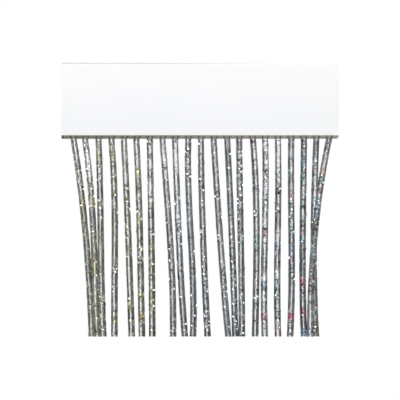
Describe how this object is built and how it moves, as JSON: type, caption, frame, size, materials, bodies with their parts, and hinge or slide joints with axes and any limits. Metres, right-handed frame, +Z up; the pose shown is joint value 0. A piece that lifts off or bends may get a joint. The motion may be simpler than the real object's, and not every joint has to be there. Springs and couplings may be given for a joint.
{
  "type": "string door curtain",
  "caption": "Short door curtain: a rigid white header channel with clear glitter tubes hanging level-cut from a narrow root strip in its mouth.",
  "frame": {"origin": "middle of the header's top face, the edge that the curtain is hung by", "axes": "+X along the header to the right as seen from the front, +Y from the front to the back, +Z up"},
  "size_m": [0.2216, 0.012, 0.2193],
  "materials": {
    "header_white": "smooth rigid white plastic, satin",
    "tube_clear": "clear soft plastic tube, glossy",
    "strip_grey": "clear plastic fused into a grey brown strip",
    "glitter_gold": "pale gold metallic flakes inside the tube wall",
    "glitter_silver": "silver metallic flakes inside the tube wall",
    "glitter_mixed": "red, pink, green, teal and blue metallic flakes inside the tube wall"
  },
  "bodies": {
    "root": {"header_channel": "header_white", "strand_strip": "tube_clear"}
  },
  "joints": []
}
